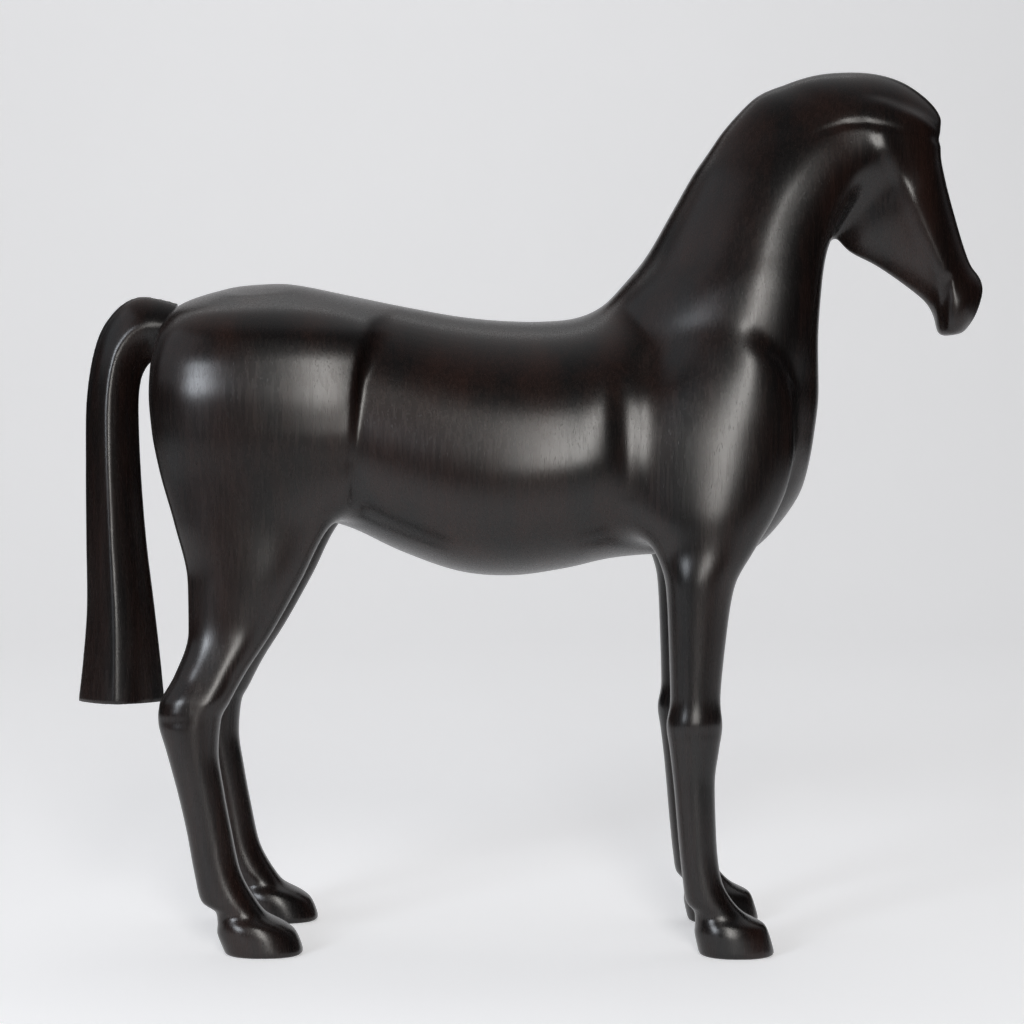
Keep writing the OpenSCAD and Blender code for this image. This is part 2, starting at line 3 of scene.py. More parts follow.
import bmesh
import bpy
import numpy as np
import openvdb
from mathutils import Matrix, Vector


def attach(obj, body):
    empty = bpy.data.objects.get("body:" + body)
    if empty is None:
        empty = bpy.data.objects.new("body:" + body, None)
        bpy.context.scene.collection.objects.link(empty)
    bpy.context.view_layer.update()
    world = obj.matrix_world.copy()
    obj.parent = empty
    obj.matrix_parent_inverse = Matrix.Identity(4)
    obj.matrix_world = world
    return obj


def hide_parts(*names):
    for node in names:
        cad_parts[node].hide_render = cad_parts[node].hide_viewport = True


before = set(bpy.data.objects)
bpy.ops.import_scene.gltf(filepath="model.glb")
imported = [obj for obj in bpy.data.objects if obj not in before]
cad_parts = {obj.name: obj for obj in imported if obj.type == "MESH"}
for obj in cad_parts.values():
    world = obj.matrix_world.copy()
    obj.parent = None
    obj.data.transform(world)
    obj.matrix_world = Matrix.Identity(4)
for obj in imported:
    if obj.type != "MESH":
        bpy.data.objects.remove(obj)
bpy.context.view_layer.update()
print("frame:", len(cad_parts), "nodes")

mm = 0.001

# The carving is drawn in millimetres, along the lines of the CAD part's sections
carving = {
    "voxel": 1.25,       # grain of the carving block
    "band": 16,          # voxels of true distance on each side of a surface
    "margin": 4,         # empty voxels round the figure
    "steps": 10,         # rings drawn per span between two sections
    "sides": 96,         # points per ring
    "haunchLip": 3.5,    # how far the haunch stands ahead of the flank joint
    "haunchEdge": 2.5,   # rounding of that edge
    "soleEdge": 1.5,     # rounding under the hooves
    "strokeFade": 4,     # depth over which a tool stroke comes in
    "throatSlack": 0.6,  # how far behind the throat the head can begin
    "sanding": 24,       # passes over the shoulders and withers
    "faceSanding": 6,    # passes over the cheeks and the face
    "polish": 1,         # passes over the whole figure
}

trunk = {
    "barrelLength": 151, "barrelDepth": 147, "barrelWidth": 126, "bellyHeight": 210.5,
    "hindLength": 108, "haunchWidth": 130, "foreLength": 120, "shoulderWidth": 130,
    "flankLean": 5.5, "girthLean": 4,
}
legs = {
    "stance": 96, "hoofLength": 42.5, "hoofWidth": 35, "hoofHeight": 17, "fetlock": 30,
    "knee": 129, "hock": 132, "foreCannon": 23, "hindCannon": 26, "cannonWidth": 23,
    "belowFloor": 3,
}
neck = {"rise": 142.5, "reach": 190, "width": 108, "maneWidth": 51}
head = {"length": 112, "depth": 62, "width": 55, "muzzleWidth": 29}
tail = {"drop": 229, "reach": 59, "width": 40}

flankX = -trunk["barrelLength"]
rootX = flankX - 0.917 * trunk["hindLength"]
forePlumb = 0.385 * trunk["foreLength"]
hindPlumb = flankX - 0.725 * trunk["hindLength"]
backHeight = trunk["bellyHeight"] + trunk["barrelDepth"]


def mix(a, b, t):
    return a + t * (b - a)


def high(share):
    return trunk["bellyHeight"] + share * trunk["barrelDepth"]


def hindX(u):
    return flankX - u * trunk["hindLength"]


def atTrunk(u, v):
    return u * trunk["foreLength"], high(v)


def atNeck(u, v):
    return u * neck["reach"], backHeight + v * neck["rise"]


brow = atNeck(0.984, 0.726)
throat = atNeck(0.674, 0.306)


def atHead(u, v):
    return brow[0] + u * head["depth"], brow[1] - v * head["length"]


def atTail(u, v):
    return rootX - u * tail["reach"], high(1.058) - v * tail["drop"]


# Moves the drawing so that the figure stands centred over the frame's origin
centreShift = -(brow[0] + 0.45 * head["depth"] + rootX - tail["reach"]) / 2


# A section is front x, z, back x, z, middle y, half width, bias, front and back squareness
def trunkRow(x, top, low, w):
    return x, high(top), x, high(low), 0, w * trunk["barrelWidth"] / 2, -0.12, 1.92, 2.05


def legRow(z, back, front, inner, outer, bias=0, frontSquare=2.25, backSquare=2.25):
    return front, z, back, z, (inner + outer) / 2, (outer - inner) / 2, bias, frontSquare, backSquare


def foreRow(z, back, front, w):
    half = w * legs["cannonWidth"] / 2
    return legRow(z, forePlumb + back * legs["foreCannon"], forePlumb + front * legs["foreCannon"],
                  legs["stance"] / 2 - half, legs["stance"] / 2 + half)


def hindRow(z, back, front, w):
    half = w * legs["cannonWidth"] / 2
    return legRow(z, hindPlumb + back * legs["hindCannon"], hindPlumb + front * legs["hindCannon"],
                  legs["stance"] / 2 - half, legs["stance"] / 2 + half)


def hoofRow(z, heel, length, w):
    half = w * legs["hoofWidth"] / 2
    return legRow(z, heel, heel + length, legs["stance"] / 2 - half, legs["stance"] / 2 + half)


def shoulderRow(v, back, front, inner, outer, ridge, frontSquare=1.8):
    half = trunk["shoulderWidth"] / 2
    return legRow(high(v), back * trunk["foreLength"], front * trunk["foreLength"],
                  inner * half, outer * half, ridge, frontSquare, 2.0)


def haunchRow(v, back, front, inner, outer):
    return legRow(high(v), hindX(back), hindX(front),
                  inner * trunk["haunchWidth"] / 2, outer * trunk["haunchWidth"] / 2, -0.19, 2.5, 2.1)


def gaskinRow(share, back, front, inner, outer):
    return legRow(mix(hock, belly, share), hindPlumb + back * legs["hindCannon"],
                  hindPlumb + front * legs["hindCannon"],
                  inner * trunk["haunchWidth"] / 2, outer * trunk["haunchWidth"] / 2)


def edgeRow(front, back, halfWidth, bias, frontSquare, backSquare):
    return front[0], front[1], back[0], back[1], 0, halfWidth, bias, frontSquare, backSquare


def chestRow(front, back, w, ridge=0.05):
    return edgeRow(front, back, w * trunk["shoulderWidth"] / 2, ridge, 2.2, 2.1)


def neckRow(front, back, w, ridge):
    return edgeRow(front, back, w * neck["width"] / 2, ridge, 2.5, 1.85)


def maneRow(outer, inner, w):
    return edgeRow(outer, inner, w * neck["maneWidth"] / 2, -0.45, 1.75, 2.0)


def headRow(front, back, halfWidth, ridge):
    return edgeRow(front, back, halfWidth, ridge, 1.45, 1.5)


def muzzleRow(front, back, halfWidth):
    return edgeRow(front, back, halfWidth, -0.05, 1.6, 2.2)


def tailRow(outer, inner, w):
    return edgeRow(outer, inner, w * tail["width"] / 2, 0.05, 1.35, 1.5)


trunkRows = [
    trunkRow(hindX(0.96), 0.99, 0.62, 0.38),
    trunkRow(hindX(0.90), 1.058, 0.52, 0.57),
    trunkRow(hindX(0.69), 1.110, 0.36, 0.77),
    trunkRow(hindX(0.45), 1.137, 0.28, 0.82),
    trunkRow(hindX(0.27), 1.137, 0.24, 0.83),
    trunkRow(hindX(0.00), 1.100, 0.19, 0.87),
    trunkRow(flankX + 0.20 * trunk["barrelLength"], 1.058, 0.095, 0.93),
    trunkRow(flankX + 0.42 * trunk["barrelLength"], 1.018, 0.017, 0.995),
    trunkRow(flankX + 0.62 * trunk["barrelLength"], 1.000, 0.000, 1.030),
    trunkRow(flankX + 0.82 * trunk["barrelLength"], 1.003, 0.027, 1.032),
    trunkRow(0, 1.035, 0.068, 1.00),
    trunkRow(0.23 * trunk["foreLength"], 1.030, 0.085, 0.84),
    trunkRow(0.48 * trunk["foreLength"], 0.925, 0.09, 0.68),
    trunkRow(0.69 * trunk["foreLength"], 0.857, 0.13, 0.48),
    trunkRow(0.86 * trunk["foreLength"], 0.687, 0.28, 0.30),
]

foreHeel = forePlumb + 0.1 * legs["foreCannon"]
hindHeel = hindPlumb + 0.39 * legs["hindCannon"]
hoofLong = legs["hoofLength"]
hoofTop = legs["hoofHeight"]
fetlock = legs["fetlock"]
knee = legs["knee"]
hock = legs["hock"]
belly = trunk["bellyHeight"]
foreLegRows = [
    hoofRow(-legs["belowFloor"], foreHeel, hoofLong, 1.00),
    hoofRow(0, foreHeel, hoofLong, 1.00),
    hoofRow(0.75 * hoofTop, foreHeel - 0.06 * hoofLong, 0.98 * hoofLong, 0.96),
    hoofRow(hoofTop, foreHeel - 0.05 * hoofLong, 0.92 * hoofLong, 0.90),
    foreRow(mix(hoofTop, fetlock, 0.5), 0.00, 1.20, 1.06),
    foreRow(fetlock, -0.22, 0.92, 1.08),
    foreRow(mix(fetlock, knee, 0.12), -0.30, 0.65, 1.05),
    foreRow(mix(fetlock, knee, 0.32), -0.39, 0.53, 1.00),
    foreRow(mix(fetlock, knee, 0.66), -0.52, 0.48, 1.00),
    foreRow(mix(fetlock, knee, 0.86), -0.62, 0.58, 1.12),
    foreRow(knee, -0.70, 0.66, 1.28),
    foreRow(mix(knee, belly, 0.18), -0.61, 0.61, 1.20),
    foreRow(mix(knee, belly, 0.59), -0.65, 0.74, 1.30),
    foreRow(mix(knee, belly, 0.95), -0.72, 0.94, 1.47),
    shoulderRow(0.115, 0.19, 0.66, 0.43, 1.00, 0.12, 2.1),
    shoulderRow(0.245, 0.04, 0.755, 0.38, 1.02, 0.24, 1.95),
    shoulderRow(0.36, -0.05, 0.815, 0.34, 1.02, 0.32),
    shoulderRow(0.52, -0.10, 0.85, 0.28, 1.01, 0.38),
    shoulderRow(0.67, 0.00, 0.85, 0.22, 0.985, 0.44),
    shoulderRow(0.82, 0.22, 0.81, 0.17, 0.94, 0.44),
    shoulderRow(0.93, 0.35, 0.73, 0.13, 0.84, 0.35),
    shoulderRow(1.02, 0.50, 0.66, 0.10, 0.55, 0.10),
]
hindLegRows = [
    hoofRow(-legs["belowFloor"], hindHeel + 0.035 * hoofLong, 1.06 * hoofLong, 1.00),
    hoofRow(0, hindHeel + 0.03 * hoofLong, 1.05 * hoofLong, 1.00),
    hoofRow(0.75 * hoofTop, hindHeel - 0.08 * hoofLong, 1.04 * hoofLong, 0.96),
    hoofRow(hoofTop, hindHeel - 0.07 * hoofLong, 0.91 * hoofLong, 0.90),
    hindRow(mix(hoofTop, fetlock, 0.5), 0.25, 1.31, 1.06),
    hindRow(fetlock, -0.08, 1.11, 1.10),
    hindRow(mix(fetlock, hock, 0.16), -0.23, 0.77, 1.05),
    hindRow(mix(fetlock, hock, 0.38), -0.385, 0.58, 1.00),
    hindRow(mix(fetlock, hock, 0.60), -0.58, 0.42, 1.04),
    hindRow(mix(fetlock, hock, 0.82), -0.81, 0.30, 1.13),
    hindRow(hock, -1.00, 0.36, 1.18),
    hindRow(mix(hock, belly, 0.12), -0.96, 0.54, 1.14),
    gaskinRow(0.32, -0.65, 0.86, 0.50, 0.87),
    gaskinRow(0.62, -0.38, 1.44, 0.42, 0.80),
    gaskinRow(0.98, -0.40, 2.05, 0.36, 0.815),
    haunchRow(0.21, 0.89, 0.07, 0.30, 0.84),
    haunchRow(0.415, 0.97, -0.34, 0.18, 0.895),
    haunchRow(0.57, 1.01, -0.40, 0.12, 0.945),
    haunchRow(0.71, 1.025, -0.40, 0.09, 0.96),
    haunchRow(0.81, 1.02, -0.38, 0.07, 0.93),
    haunchRow(0.91, 0.99, -0.28, 0.06, 0.855),
    haunchRow(1.015, 0.88, 0.00, 0.05, 0.64),
    haunchRow(1.06, 0.64, 0.30, 0.03, 0.40),
]
neckRows = [
    chestRow(atTrunk(0.640, 0.07), atTrunk(0.19, 0.10), 0.34),
    chestRow(atTrunk(0.765, 0.160), atTrunk(0.067, 0.21), 0.56),
    chestRow(atTrunk(0.925, 0.355), atTrunk(-0.017, 0.36), 0.73),
    chestRow(atTrunk(0.975, 0.55), atTrunk(-0.10, 0.55), 0.80, 0.14),
    chestRow(atTrunk(0.995, 0.72), atTrunk(-0.16, 0.74), 0.825, 0.24),
    neckRow(atTrunk(0.985, 0.92), atTrunk(-0.05, 0.98), 1.00, 0.33),
    neckRow(atNeck(0.630, 0.111), atNeck(0.000, 0.083), 0.96, 0.37),
    neckRow(atNeck(0.648, 0.264), atNeck(0.098, 0.245), 0.865, 0.31),
    neckRow(atNeck(0.688, 0.389), atNeck(0.184, 0.44), 0.77, 0.26),
    neckRow(atNeck(0.755, 0.528), atNeck(0.267, 0.625), 0.67, 0.25),
    neckRow(atNeck(0.837, 0.639), atNeck(0.358, 0.768), 0.57, 0.24),
    neckRow(atNeck(0.921, 0.708), atNeck(0.489, 0.889), 0.47, 0.20),
    neckRow(atNeck(0.963, 0.75), atNeck(0.647, 0.951), 0.37, 0.15),
]
maneRows = [
    maneRow(atNeck(0.345, 0.64), atNeck(0.394, 0.58), 0.10),
    maneRow(atNeck(0.370, 0.765), atNeck(0.458, 0.655), 0.44),
    maneRow(atNeck(0.436, 0.893), atNeck(0.526, 0.65), 0.66),
    maneRow(atNeck(0.526, 0.951), atNeck(0.595, 0.68), 0.82),
    maneRow(atNeck(0.616, 0.988), atNeck(0.663, 0.70), 0.93),
    maneRow(atNeck(0.708, 1.00), atNeck(0.726, 0.705), 0.98),
    maneRow(atNeck(0.80, 0.993), atNeck(0.795, 0.69), 0.96),
    maneRow(atNeck(0.884, 0.958), atNeck(0.853, 0.68), 0.90),
    maneRow(atNeck(0.958, 0.889), atNeck(0.895, 0.67), 0.79),
    maneRow(atNeck(0.997, 0.819), atNeck(0.92, 0.694), 0.60),
    maneRow(atNeck(0.995, 0.757), atNeck(0.947, 0.70), 0.34),
]
cheek = head["width"] / 2
lip = head["muzzleWidth"] / 2
headRows = [
    headRow(atHead(-0.20, -0.22), atHead(-1.20, 0.03), 0.56 * cheek, 0.15),
    headRow(atHead(-0.13, -0.155), atHead(-1.10, 0.20), 0.75 * cheek, 0.25),
    headRow(atHead(0.00, 0.00), atHead(-1.00, 0.385), 0.90 * cheek, 0.34),
    headRow(atHead(0.05, 0.125), atHead(-0.855, 0.555), 0.90 * cheek, 0.40),
    headRow(atHead(0.095, 0.22), atHead(-0.565, 0.645), 0.84 * cheek, 0.30),
    headRow(atHead(0.175, 0.375), atHead(-0.305, 0.74), 0.75 * cheek, 0.16),
    headRow(atHead(0.27, 0.545), atHead(-0.08, 0.84), 0.655 * cheek, 0.00),
    muzzleRow(atHead(0.345, 0.65), atHead(-0.01, 0.90), 1.12 * lip),
    muzzleRow(atHead(0.41, 0.69), atHead(0.01, 0.945), 1.12 * lip),
    muzzleRow(atHead(0.45, 0.76), atHead(0.02, 0.98), 1.06 * lip),
    muzzleRow(atHead(0.39, 0.885), atHead(0.035, 1.00), 0.90 * lip),
    muzzleRow(atHead(0.27, 0.99), atHead(0.07, 1.005), 0.55 * lip),
]
tailRows = [
    tailRow(atTail(-0.19, 0.01), atTail(-0.07, 0.115), 0.55),
    tailRow(atTail(0.15, -0.017), atTail(0.135, 0.128), 0.60),
    tailRow(atTail(0.41, -0.022), atTail(0.245, 0.137), 0.65),
    tailRow(atTail(0.63, 0.015), atTail(0.32, 0.158), 0.675),
    tailRow(atTail(0.80, 0.09), atTail(0.37, 0.193), 0.70),
    tailRow(atTail(0.90, 0.228), atTail(0.39, 0.262), 0.725),
    tailRow(atTail(0.915, 0.41), atTail(0.37, 0.42), 0.775),
    tailRow(atTail(0.915, 0.583), atTail(0.32, 0.592), 0.825),
    tailRow(atTail(0.912, 0.757), atTail(0.245, 0.757), 0.90),
    tailRow(atTail(0.95, 0.887), atTail(0.19, 0.887), 0.95),
    tailRow(atTail(1.00, 1.00), atTail(0.15, 1.00), 1.00),
]


# Joint lines of the side view, each as two points
def flankAt(z):
    return flankX + (z - high(0.41)) * math.tan(math.radians(trunk["flankLean"])), z


def girthAt(z):
    return -(z - high(0.41)) * math.tan(math.radians(trunk["girthLean"])), z


flankJoint = flankAt(high(0.0)), flankAt(high(1.0))
haunchFront = [(x + carving["haunchLip"], z) for x, z in flankJoint]
girthJoint = girthAt(high(0.0)), girthAt(high(1.0))
neckJoint = girthAt(high(1.06)), atTrunk(1.008, 0.857)
headJoint = throat, brow
tailJoint = atTail(0.153, 0.141), atTail(0, -0.01)
foreJointHeight = high(0.05)
hindJointHeight = high(0.19)


# Forms: rings swept through the sections, as points with quads between and fans at the ends.
# A flowing form keeps its slope through a section; the others level out at each high and low.
def formMesh(rows, mirrored=False, flowing=False):
    table = np.array(rows, float)
    rise = np.diff(table, axis=0)
    both = rise[:-1] * rise[1:]
    total = np.where(both > 0, rise[:-1] + rise[1:], 1)
    middle = (rise[:-1] + rise[1:]) / 2 if flowing else np.where(both > 0, 2 * both / total, 0)
    slope = np.vstack([rise[:1], middle, rise[-1:]])
    t = np.linspace(0, len(table) - 1, (len(table) - 1) * carving["steps"] + 1)
    i = np.minimum(t.astype(int), len(table) - 2)
    f = (t - i)[:, None]
    s = (table[i] * (2 * f**3 - 3 * f**2 + 1) + slope[i] * (f**3 - 2 * f**2 + f)
         + table[i + 1] * (3 * f**2 - 2 * f**3) + slope[i + 1] * (f**3 - f**2))
    frontX, frontZ, backX, backZ, middleY, halfWidth, bias, frontSquare, backSquare = s.T[:, :, None]
    n = carving["sides"]
    angle = 2 * np.pi * np.arange(n) / n
    power = 2 / np.where(np.cos(angle) > 0, frontSquare, backSquare)
    c = np.sign(np.cos(angle)) * np.abs(np.cos(angle)) ** power
    w = np.sign(np.sin(angle)) * np.abs(np.sin(angle)) ** power
    c = c + bias * (1 - c * c)
    x = (frontX + backX) / 2 + c * (frontX - backX) / 2 + centreShift
    z = (frontZ + backZ) / 2 + c * (frontZ - backZ) / 2
    y = middleY + w * halfWidth
    if mirrored:
        y = -y
    points = np.stack([x, y, z], axis=-1)
    ends = np.stack([points[0].mean(0), points[-1].mean(0)])
    rings = len(points)
    a = np.arange(rings - 1)[:, None] * n + np.arange(n)
    b = np.arange(rings - 1)[:, None] * n + (np.arange(n) + 1) % n
    quads = np.stack([a, b, b + n, a + n], axis=-1).reshape(-1, 4)
    first = rings * n
    k = np.arange(n)
    fans = np.vstack([
        np.stack([np.full(n, first), k, (k + 1) % n], axis=-1),
        np.stack([np.full(n, first + 1), first - n + k, first - n + (k + 1) % n], axis=-1),
    ])
    points = np.vstack([points.reshape(-1, 3), ends])
    return points.astype(np.float32), fans.astype(np.uint32), quads.astype(np.uint32)


# The distance to a form, on the grid of the carving block, with the index of its first corner
def formDistance(rows, mirrored=False, flowing=False):
    points, fans, quads = formMesh(rows, mirrored, flowing)
    grid = openvdb.FloatGrid.createLevelSetFromPolygons(
        points, triangles=fans, quads=quads,
        transform=openvdb.createLinearTransform(voxelSize=carving["voxel"]), halfWidth=carving["band"])
    low, top = grid.evalActiveVoxelBoundingBox()
    field = np.empty([b - a + 1 for a, b in zip(low, top)], np.float32)
    grid.copyToArray(field, ijk=low)
    return field, np.array(low)


def newBlock(low, top):
    corner = np.floor(np.array(low) / carving["voxel"]).astype(int) - carving["margin"]
    size = np.ceil(np.array(top) / carving["voxel"]).astype(int) + carving["margin"] - corner
    field = np.full(size, carving["band"] * carving["voxel"], np.float32)
    return {"field": field, "corner": corner}


def axisOf(block, axis):
    return (block["corner"][axis] + np.arange(block["field"].shape[axis])) * carving["voxel"]


def smoothMin(a, b, radius):
    overlap = np.maximum(1 - np.abs(a - b) / radius, 0)
    return np.minimum(a, b) - overlap * overlap * radius / 4


# Glues a form to the block with a fillet; the radius may depend on x and z
def joinForm(block, form, radius=1):
    field, corner = form
    low = np.maximum(corner, block["corner"])
    top = np.minimum(corner + field.shape, block["corner"] + block["field"].shape)
    here = tuple(slice(a, b) for a, b in zip(low - block["corner"], top - block["corner"]))
    there = tuple(slice(a, b) for a, b in zip(low - corner, top - corner))
    if callable(radius):
        radius = radius(axisOf(block, 0)[here[0]][:, None, None], axisOf(block, 2)[here[2]][None, None, :])
        radius = np.minimum(radius, carving["band"] * carving["voxel"]).astype(np.float32)
    block["field"][here] = smoothMin(block["field"][here], field[there], radius)


# Saws a form off ahead of a joint line, with a rounded edge
def sawOff(form, joint, edge):
    field, corner = form
    (x0, z0), (x1, z1) = joint
    length = math.hypot(x1 - x0, z1 - z0)
    x = (corner[0] + np.arange(field.shape[0])) * carving["voxel"] - centreShift
    z = (corner[2] + np.arange(field.shape[2])) * carving["voxel"]
    ahead = ((x[:, None] - x0) * (z1 - z0) - (z[None, :] - z0) * (x1 - x0)) / length
    return -smoothMin(-field, -ahead[:, None, :].astype(np.float32), edge), corner


# A chisel stroke along a path of the side view, on both sides of the figure.
# Depth is cut in, or raised where it is negative; inside is the half width it starts from.
def chisel(block, path, reach, depth, inside, vee=False, taper=0.25):
    path = np.array(path, float)
    x, y, z = (axisOf(block, axis) for axis in range(3))
    xs = np.flatnonzero((x > path[:, 0].min() - reach) & (x < path[:, 0].max() + reach))
    zs = np.flatnonzero((z > path[:, 1].min() - reach) & (z < path[:, 1].max() + reach))
    px, pz = np.meshgrid(x[xs], z[zs], indexing="ij")
    runs = np.hypot(*np.diff(path, axis=0).T)
    whole = runs.sum()
    near = np.full(px.shape, np.inf)
    along = np.zeros(px.shape)
    gone = 0
    for (ax, az), (bx, bz), run in zip(path[:-1], path[1:], runs):
        t = ((px - ax) * (bx - ax) + (pz - az) * (bz - az)) / run**2
        t = np.clip(t, 0, 1)
        d = np.hypot(px - ax - t * (bx - ax), pz - az - t * (bz - az))
        along = np.where(d < near, (gone + t * run) / whole, along)
        near = np.minimum(near, d)
        gone += run
    share = np.clip(1 - near / reach, 0, 1)
    profile = share if vee else share * share * (3 - 2 * share)
    ends = np.clip(np.minimum(along, 1 - along) / taper, 0, 1)
    bite = depth * profile * np.sqrt(ends)
    side = np.clip((np.abs(y) - inside) / carving["strokeFade"], 0, 1)
    block["field"][xs[0]:xs[-1] + 1, :, zs[0]:zs[-1] + 1] += (
        bite[:, None, :] * side[None, :, None]).astype(np.float32)


# Sands the block; where a weight is given, only as much as that says for x and z
def sandBlock(block, passes, weight=None):
    share = np.ones((1, 1, 1), np.float32)
    area = (slice(None), slice(None), slice(None))
    if weight:
        share = weight(axisOf(block, 0)[:, None, None], axisOf(block, 2)[None, None, :]).astype(np.float32)
        xs, _, zs = np.nonzero(share)
        area = (slice(xs.min(), xs.max() + 1), slice(None), slice(zs.min(), zs.max() + 1))
        share = share[area[0], :, area[2]]
    rough = block["field"][area]
    sanded = rough.copy()
    for axis in (0, 1, 2) * passes:
        f = np.moveaxis(sanded, axis, 0)
        f[1:-1] = (f[:-2] + 2 * f[1:-1] + f[2:]) / 4
    block["field"][area] = rough + share * (sanded - rough)


def flatSole(block):
    z = axisOf(block, 2).astype(np.float32)
    block["field"] = -smoothMin(-block["field"], z[None, None, :], carving["soleEdge"])


# Tool strokes: path in x and z of the frame, reach, depth, inner limit, sharp or soft
strokes = {
    "girthGroove": dict(path=[(50, 331), (54.5, 255)], reach=10, depth=0.9, inside=40, taper=0.45),
    "tendonGroove": dict(path=[(-172, 178), (-180, 158), (-190, 130)], reach=9, depth=0.5, inside=44,
                         taper=0.5),
    "hockCrease": dict(path=[(-209, 131.5), (-188, 132)], reach=4.5, depth=0.5, inside=44, taper=0.3),
    "kneeCrease": dict(path=[(82, 126), (109, 126)], reach=5, depth=0.45, inside=48, taper=0.3),
    "nostrilLine": dict(path=[(239, 383), (237.4, 367), (235.5, 348)], reach=2.8, depth=1.3, inside=4,
                        vee=True, taper=0.1),
    "browRidge": dict(path=[(197, 464), (204.6, 450), (215.5, 428), (224.7, 407), (238, 380)], reach=8,
                      depth=-1.0, inside=6, taper=0.08),
    "underMane": dict(path=[(158, 459), (165, 463), (178, 467), (190, 468), (201, 466), (211, 463.5),
                            (232, 461)], reach=2.6, depth=0.8, inside=8, vee=True),
    "foreLock": dict(path=[(228, 461.5), (240, 461)], reach=5, depth=1.2, inside=-10, taper=0.3),
}
tailStrokes = {
    "tailCrease": dict(path=[(-243.4, 270), (-243, 200), (-240, 130)], reach=2.4, depth=0.5, inside=6,
                       vee=True, taper=0.3),
}

# Fillets in millimetres and shares of sanding, each as places and the values there
blends = {
    "neckAlong": ((20, 60), (20, 10)),
    "neckUp": ((high(0.6), high(0.9)), (0.3, 1)),
    "haunchUp": ((high(0.1), high(0.3), high(0.45), high(0.75), high(0.95)), (16, 12, 5, 5, 18)),
    "shoulderAlong": ((95, 130), (8, 4)),
    "shoulderUp": ((high(0.1), high(0.3)), (8, 0)),
    "headUp": ((405, 440), (5, 20)),
    "maneAlong": ((110, 165), (14, 2)),
    "withersAlong": ((-60, 0, 115, 140), (0, 1, 1, 0.15)),
    "withersUp": ((high(0.05), high(0.3), high(1.3), high(1.6)), (0, 1, 1, 0)),
    "faceAlong": ((150, 175), (0, 1)),
    "faceUp": ((330, 350), (0, 1)),
}


def blend(name, place):
    return np.interp(place, *blends[name])


def neckFillet(x, z):
    return blend("neckAlong", x) * blend("neckUp", z)


def haunchFillet(x, z):
    return blend("haunchUp", z) + 0 * x


def shoulderFillet(x, z):
    return blend("shoulderAlong", x) + blend("shoulderUp", z)


def headFillet(x, z):
    return blend("headUp", z) + 0 * x


def maneFillet(x, z):
    return blend("maneAlong", x) + 0 * z


def withersSanding(x, z):
    return blend("withersAlong", x) * blend("withersUp", z)


def faceSanding(x, z):
    return blend("faceAlong", x) * blend("faceUp", z)


# Opposite corners of the blocks that the figure and its tail are carved from
blockCorners = {
    "figure": ((-235, -70, -2), (264, 70, 502)),
    "tail": ((-264, -24, 130), (-180, 24, 376)),
}

# The tail is carved apart from the rest, because it only touches the figure at its root
body = newBlock(*blockCorners["figure"])
joinForm(body, formDistance(trunkRows, flowing=True))
joinForm(body, formDistance(neckRows), neckFillet)
for mirrored in (False, True):
    haunch = sawOff(formDistance(hindLegRows, mirrored), haunchFront, carving["haunchEdge"])
    joinForm(body, haunch, haunchFillet)
    joinForm(body, formDistance(foreLegRows, mirrored), shoulderFillet)
sandBlock(body, carving["sanding"], withersSanding)
joinForm(body, formDistance(headRows), headFillet)
sandBlock(body, carving["faceSanding"], faceSanding)
joinForm(body, formDistance(maneRows, flowing=True), maneFillet)
for stroke in strokes.values():
    chisel(body, **stroke)
flatSole(body)
sandBlock(body, carving["polish"])
print("figure carved:", body["field"].shape)

hair = newBlock(*blockCorners["tail"])
joinForm(hair, formDistance(tailRows, flowing=True))
for stroke in tailStrokes.values():
    chisel(hair, **stroke)
print("tail carved:", hair["field"].shape)


def blockMesh(block):
    grid = openvdb.FloatGrid(carving["band"] * carving["voxel"])
    grid.copyFromArray(block["field"], ijk=tuple(int(i) for i in block["corner"]))
    grid.transform = openvdb.createLinearTransform(voxelSize=carving["voxel"])
    points, quads = grid.convertToQuads(0)
    mesh = bpy.data.meshes.new("carving")
    mesh.from_pydata(points * mm, [], quads.tolist())
    bm = bmesh.new()
    bm.from_mesh(mesh)
    bpy.data.meshes.remove(mesh)
    bmesh.ops.recalc_face_normals(bm, faces=bm.faces)
    for face in bm.faces:
        face.smooth = True
    return bm


# Parts a closed mesh at a joint into the part ahead and the part behind, both closed.
# Where a test is given, only what passes it can be ahead.
def partAt(bm, point, normal, test=None):
    parts = []
    for ahead in (True, False):
        part = bm.copy()
        geometry = part.verts[:] + part.edges[:] + part.faces[:]
        if test:
            near = {face for face in part.faces if test(face.calc_center_median())}
            geometry = [*{v for f in near for v in f.verts}, *{e for f in near for e in f.edges}, *near]
        bmesh.ops.bisect_plane(part, geom=geometry, dist=1e-6, plane_co=point, plane_no=normal,
                               clear_inner=ahead, clear_outer=not ahead)
        if test and ahead:
            rest = [face for face in part.faces if not test(face.calc_center_median())]
            bmesh.ops.delete(part, geom=rest, context="FACES")
        rim = [edge for edge in part.edges if edge.is_boundary]
        side = -1 if ahead else 1
        cap = bmesh.ops.triangle_fill(part, use_beauty=True, edges=rim, normal=side * Vector(normal))
        for face in cap["geom"]:
            if isinstance(face, bmesh.types.BMFace):
                face.smooth = False
        parts.append(part)
    return parts


def partAtJoint(bm, joint, test=None):
    (x0, z0), (x1, z1) = joint
    normal = Vector((z1 - z0, 0, x0 - x1)).normalized()
    return partAt(bm, ((x0 + centreShift) * mm, 0, z0 * mm), normal, test)


def partAtHeight(bm, z):
    return partAt(bm, (0, 0, z * mm), (0, 0, 1))


def partSides(bm):
    return partAt(bm, (0, 0, 0), (0, 1, 0))


def isHead(point):
    return point.x > (throat[0] + centreShift - carving["throatSlack"]) * mm


def isTailRoot(point):
    return point.z > high(0.6) * mm


